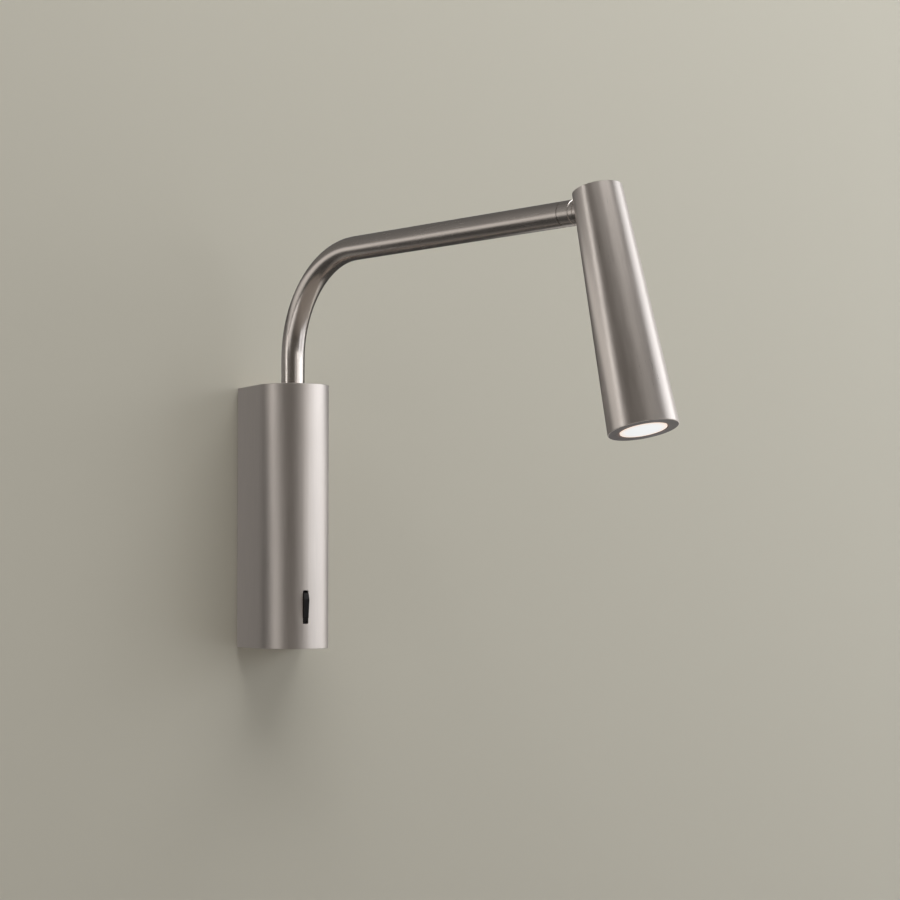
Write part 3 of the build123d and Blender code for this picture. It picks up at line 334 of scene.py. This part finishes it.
SLOT_MATERIALS = {
    "zinc_steel": plain("zinc_steel", (0.62, 0.63, 0.64), 0.34, 1.0, 500.0),
    "spring_steel": plain("spring_steel", (0.28, 0.28, 0.29), 0.38, 1.0),
    "brass": plain("brass", (0.72, 0.56, 0.27), 0.3, 1.0),
    "aluminium": plain("aluminium", (0.72, 0.73, 0.74), 0.36, 1.0),
    "bearing_plastic": plain("bearing_plastic", (0.045, 0.045, 0.046), 0.48),
    "black_plastic": plain(
        "black_plastic", (0.009, 0.008, 0.008), 0.42, scale=1600.0, bump=0.25, gloss=0.3),
    "pale_plastic": plain("pale_plastic", (0.72, 0.72, 0.69), 0.45),
    "lead_sheath": plain("lead_sheath", (0.50, 0.48, 0.44), 0.4),
    "rubber": plain("rubber", (0.03, 0.03, 0.03), 0.62),
    "dark_ring": dark_ring(),
    "lit_lens": lit_lens(),
    "clear_optic": plain("clear_optic", (0.85, 0.87, 0.88), 0.12),
    "led_phosphor": plain("led_phosphor", (0.85, 0.70, 0.22), 0.5),
}
# Nickel pieces that share a grain: the material's name, its roughness, the grain and the nodes.
NICKEL_PIECES = [
    ("nickel_column", 0.40, grain_along(UP), ["column_shell"]),
    ("nickel_caps", 0.40, grain_along(RIGHT), ["column_top_cap", "column_bottom_cap"]),
    ("nickel_tube", 0.24, grain_along_tube, ["arm_tube"]),
    ("nickel_knuckle", 0.27, grain_along(ARM_AXIS),
     ["knuckle_sleeve", "knuckle_spacer", "tilt_tongue"]),
    ("nickel_head", 0.31, grain_along(HEAD_AXIS), ["head_shell", "head_top_cap"]),
]


def nickel_by_node():
    found = {}
    for name, roughness, grain, nodes in NICKEL_PIECES:
        found.update(dict.fromkeys(nodes, brushed(name, roughness, grain)))
    return found


def finish_nodes():
    """Each CAD node gets the finish of its material slot."""
    nickel = nickel_by_node()
    slot_of = {row["node"]: row["material_slot"] for row in frame["record"]["subparts"]}
    for name, node in frame["nodes"].items():
        material = nickel.get(name) or SLOT_MATERIALS[slot_of[name]]
        for index in range(len(node.data.materials)):
            node.data.materials[index] = material


finish_nodes()


# ---- stage ----
def sheet_mesh(name, corners, faces, material):
    mesh = bpy.data.meshes.new(name)
    mesh.from_pydata(corners, [], faces)
    made = bpy.data.objects.new(name, mesh)
    made.data.materials.append(material)
    bpy.context.scene.collection.objects.link(made)
    return made


def wall_material():
    """Matt paint, clear from behind so that the lamp's back can be seen."""
    graph = Graph("wall_paint")
    roller = graph.noise(graph.place(), WALL_ROLLER, 3.0, 0.6)
    paint = graph.node("BsdfDiffuse")
    paint.inputs["Color"].default_value = WALL_COLOR
    graph.put(paint.inputs["Normal"], graph.bump(roller, WALL_BUMP, WALL_DEPTH))
    clear = graph.node("BsdfTransparent")
    choice = graph.node("MixShader")
    graph.put(choice.inputs[0], graph.node("NewGeometry").outputs["Backfacing"])
    graph.put(choice.inputs[1], paint.outputs[0])
    graph.put(choice.inputs[2], clear.outputs[0])
    return graph.finish(choice)


def floor_material():
    graph = Graph("floor")
    seen = graph.node("LightPath").outputs["Is Camera Ray"]
    graph.surface(
        Base_Color=graph.mix(seen, FLOOR_TO_METAL, FLOOR_COLOR), Roughness=FLOOR_ROUGHNESS)
    return graph.material


def upright_corners(left, right, foot, top, depth):
    return [(left, depth, foot), (right, depth, foot), (right, depth, top), (left, depth, top)]


def wall_sheet(name, depth, material):
    """Upright sheet with an opening behind the column, which leaves the lamp's back in view."""
    half_width, half_height = OPENING_WIDTH / 2, OPENING_HEIGHT / 2
    corners = upright_corners(WALL_LEFT, WALL_RIGHT, WALL_FOOT, WALL_TOP, depth)
    corners += upright_corners(-half_width, half_width, -half_height, half_height, depth)
    faces = [(side, (side + 1) % 4, 4 + (side + 1) % 4, 4 + side) for side in range(4)]
    return sheet_mesh(name, corners, faces, material)


def add_floor():
    corners = [
        (WALL_LEFT, -FLOOR_REACH, WALL_FOOT), (-WALL_LEFT, -FLOOR_REACH, WALL_FOOT),
        (-WALL_LEFT, FLOOR_REACH, WALL_FOOT), (WALL_LEFT, FLOOR_REACH, WALL_FOOT)]
    sheet_mesh("floor", corners, [(0, 1, 2, 3)], floor_material())


wall_sheet("wall", WALL_BEHIND, wall_material())
add_floor()

# ---- light ----
LIGHT_CENTRE = Vector((0, -0.1, 0.05))
KEY_TINT = (0.95, 0.985, 1.04)   # of the panels whose names start with key
PLAIN_TINT = (1.0, 1.0, 1.0)
# Upright panels around the lamp: degrees to the right of straight in front, distance, foot, top,
# width and radiance.
UPRIGHT_PANELS = {
    "key_front": (45, 1.2, -0.5, 0.5, 0.34, 1.35),
    "key_middle_low": (62, 1.2, -0.5, 0.1, 0.36, 0.8),
    "key_middle_high": (62, 1.2, 0.1, 0.45, 0.36, 2.7),
    "key_middle_top": (62, 1.2, 0.45, 0.95, 0.36, 1.1),
    "key_side_low": (79, 1.2, -0.5, 0.1, 0.36, 1.0),
    "key_side_high": (79, 1.2, 0.1, 0.45, 0.36, 2.1),
    "key_side_top": (79, 1.2, 0.45, 0.95, 0.36, 1.7),
    "key_edge": (91, 1.2, -0.2, 0.7, 0.14, 2.7),
    "left_front": (-66, 1.1, -0.45, 0.05, 0.28, 0.68),
    "left_side": (-80, 1.1, -0.45, 0.05, 0.25, 1.3),
    "left_edge": (-91, 1.1, 0.05, 0.6, 0.14, 2.9),
    "front_right": (28, 1.9, 0.0, 0.22, 0.6, 2.2),
    "front_right_high": (28, 1.9, 0.22, 0.6, 0.6, 0.7),
    "front": (8, 1.9, 0.0, 0.5, 0.6, 0.65),
}
# Panels turned to the lamp from overhead and from behind the wall: place, width, depth and
# radiance.
TURNED_PANELS = {
    "behind": ((0.5, 1.3, 0.5), 1.4, 1.0, 1.2),
    "behind_top": ((0.3, 1.5, 1.6), 1.6, 1.2, 1.6),
    "top": ((0.1, -0.55, 1.4), 1.6, 0.5, 4.6),
    "top_front": ((0.2, -1.2, 1.5), 1.4, 0.8, 1.6),
    "top_low": ((0.3, -1.5, 1.05), 1.2, 0.5, 0.22),
    "top_left": ((-0.8, -0.9, 1.25), 0.9, 0.9, 0.33),
}


def soft_light(name, place, aim, width, height, radiance):
    data = bpy.data.lights.new(name, "AREA")
    data.color = KEY_TINT if name.startswith("key") else PLAIN_TINT
    data.shape = "RECTANGLE"
    data.size, data.size_y = width, height
    data.energy = math.pi * width * height * radiance
    made = bpy.data.objects.new(name, data)
    made.location = place
    made.rotation_euler = (Vector(aim) - Vector(place)).to_track_quat("-Z", "Y").to_euler()
    made.visible_camera = False
    bpy.context.scene.collection.objects.link(made)


def add_lights():
    for name, (azimuth, distance, foot, top, width, radiance) in UPRIGHT_PANELS.items():
        turn = math.radians(azimuth)
        aim = Vector((0, LIGHT_CENTRE.y, (foot + top) / 2))
        place = aim + distance * Vector((math.sin(turn), -math.cos(turn), 0))
        soft_light(name, place, aim, width, top - foot, radiance)
    for name, (place, width, depth, radiance) in TURNED_PANELS.items():
        soft_light(name, place, LIGHT_CENTRE, width, depth, radiance)


add_lights()

# ---- painted reflection: a sheet seen only by shiny surfaces, which the metal mirrors in place of the wall ----
CARD_AHEAD = 0.0005      # in front of the stage's wall
CARD_TINT = rgb(1.0, 0.975, 0.945)
# painted shade: away from the patches the sheet glows dimly, so the metal mirrors a dark wall
CARD_GLOW = 0.06         # where none of the patches below is
FAN_ROOT = (0.02, 0.132)   # x and z of the point that the fan opens from
FAN_ROOT_GAP = 0.001     # keeps the fan's slope finite at its root
FAN_SLOPE = -0.09        # of its middle, as it goes left
FAN_OUTER, FAN_INNER = 0.30, 0.12   # slopes off the middle
FAN_GLOW = 0.72
ABOVE_GLOW, BESIDE_GLOW, RIGHT_GLOW, FAR_RIGHT_GLOW = 0.20, 0.20, 0.55, 0.5
# Edges of the patches on x or z: where the patch's glow is none and where it is full.
FAN_BEGINS_X, FAN_ENDS_X = (0.0, -0.08), (-0.75, -0.45)
ABOVE_FOOT_Z = (0.10, 0.16)
ABOVE_X, ABOVE_LEVELS = (0.02, -0.45), (0.45, 1.5)   # stronger to the left
BESIDE_LEFT_X, BESIDE_RIGHT_X, BESIDE_TOP_Z = (-0.07, -0.05), (0.005, -0.005), (0.12, 0.08)
RIGHT_LEFT_X, RIGHT_TOP_Z = (0.08, 0.16), (0.08, 0.02)
FAR_RIGHT_X = (0.20, 0.34)


def fan_glow(graph, x, z):
    """A soft bright fan to the left of the arm."""
    leftwards = graph.math("MAXIMUM", graph.math("SUBTRACT", FAN_ROOT[0], x), FAN_ROOT_GAP)
    rise = graph.math("DIVIDE", graph.math("SUBTRACT", z, FAN_ROOT[1]), leftwards)
    off_fan = graph.math("ABSOLUTE", graph.math("SUBTRACT", rise, FAN_SLOPE))
    return graph.product(
        graph.soft_step(off_fan, FAN_OUTER, FAN_INNER), graph.soft_step(x, *FAN_BEGINS_X),
        graph.soft_step(x, *FAN_ENDS_X))


def mirror_card_material():
    """Painted reflection, seen by shiny surfaces alone: the fan, and dimmer patches around it."""
    graph = Graph("mirror_card")
    across = graph.node("SeparateXYZ")
    graph.put(across.inputs[0], graph.place())
    x, z = across.outputs["X"], across.outputs["Z"]
    above = graph.product(
        graph.soft_step(z, *ABOVE_FOOT_Z), graph.span(x, *ABOVE_X, *ABOVE_LEVELS))
    beside = graph.product(
        graph.soft_step(x, *BESIDE_LEFT_X), graph.soft_step(x, *BESIDE_RIGHT_X),
        graph.soft_step(z, *BESIDE_TOP_Z))
    right = graph.product(graph.soft_step(x, *RIGHT_LEFT_X), graph.soft_step(z, *RIGHT_TOP_Z))
    far_right = graph.soft_step(x, *FAR_RIGHT_X)
    glow = graph.math("ADD", graph.product(fan_glow(graph, x, z), FAN_GLOW), CARD_GLOW)
    patches = (
        (above, ABOVE_GLOW), (beside, BESIDE_GLOW), (right, RIGHT_GLOW),
        (far_right, FAR_RIGHT_GLOW))
    for patch, level in patches:
        glow = graph.math("ADD", glow, graph.product(patch, level))
    shader = graph.node("Emission")
    shader.inputs["Color"].default_value = CARD_TINT
    graph.put(shader.inputs["Strength"], glow)
    return graph.finish(shader)


def add_mirror_card():
    card = wall_sheet("mirror_card", WALL_BEHIND - CARD_AHEAD, mirror_card_material())
    for ray in ("camera", "diffuse", "shadow", "transmission", "volume_scatter"):
        setattr(card, "visible_" + ray, False)


add_mirror_card()


# ---- camera and world ----
def add_camera():
    data = bpy.data.cameras.new("camera")
    data.sensor_width = SENSOR
    data.lens = CAMERA_LENS
    made = bpy.data.objects.new("camera", data)
    made.location = CAMERA_PLACE
    made.rotation_euler = (math.radians(90 + CAMERA_PITCH), 0, math.radians(-CAMERA_YAW))
    bpy.context.scene.collection.objects.link(made)
    bpy.context.scene.camera = made


def set_world():
    """Dim light on the lamp, and a plain backdrop for the camera."""
    world = bpy.data.worlds.new("room")
    world.use_nodes = True
    nodes, links = world.node_tree.nodes, world.node_tree.links
    choice = nodes.new("ShaderNodeMix")
    choice.data_type = "RGBA"
    choice.inputs[MIX_FIRST].default_value = WORLD_COLOR
    choice.inputs[MIX_SECOND].default_value = BACKDROP_COLOR
    links.new(nodes.new("ShaderNodeLightPath").outputs["Is Camera Ray"], choice.inputs[0])
    links.new(choice.outputs[MIX_RESULT], nodes["Background"].inputs[0])
    bpy.context.scene.world = world


add_camera()
set_world()
bpy.context.scene.view_settings.view_transform = "Standard"
